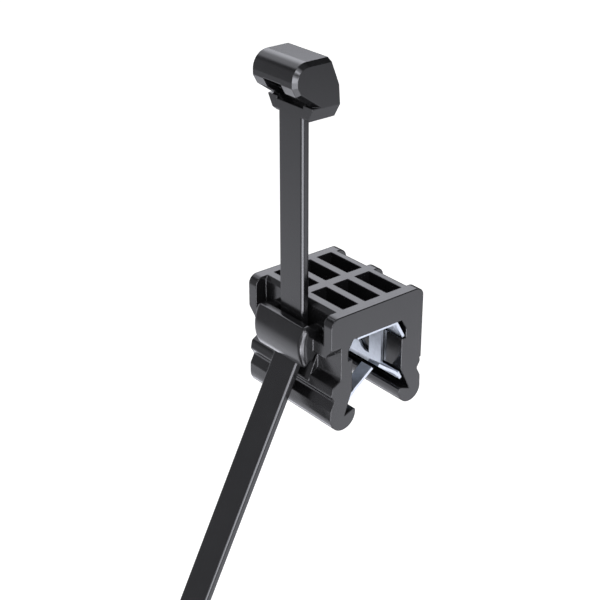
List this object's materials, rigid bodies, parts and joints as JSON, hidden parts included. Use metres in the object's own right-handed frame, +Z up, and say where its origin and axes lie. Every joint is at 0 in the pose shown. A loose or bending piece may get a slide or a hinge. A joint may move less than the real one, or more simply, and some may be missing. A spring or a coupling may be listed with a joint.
{
  "type": "edge clip cable tie",
  "caption": "Moulded clip that snaps on a panel edge over a folded steel insert with gripping flaps, with a cable tie threaded through the saddle at its side.",
  "frame": {"origin": "middle of the slot, on the underside of the insert's web, where the panel's edge stops", "axes": "+X across the slot through the panel's thickness, away from the strap; +Y along the clip and the panel's edge; +Z up out of the deck, away from the panel"},
  "size_m": [0.0885, 0.0164, 0.1826],
  "materials": {
    "clip_nylon": "semi-gloss black moulding",
    "tie_nylon": "gloss black moulding",
    "spring_steel": "bright zinc-plated sheet"
  },
  "bodies": {
    "root": {"clip_body": "clip_nylon", "spring_insert": "spring_steel", "cable_tie": "tie_nylon"}
  },
  "joints": []
}
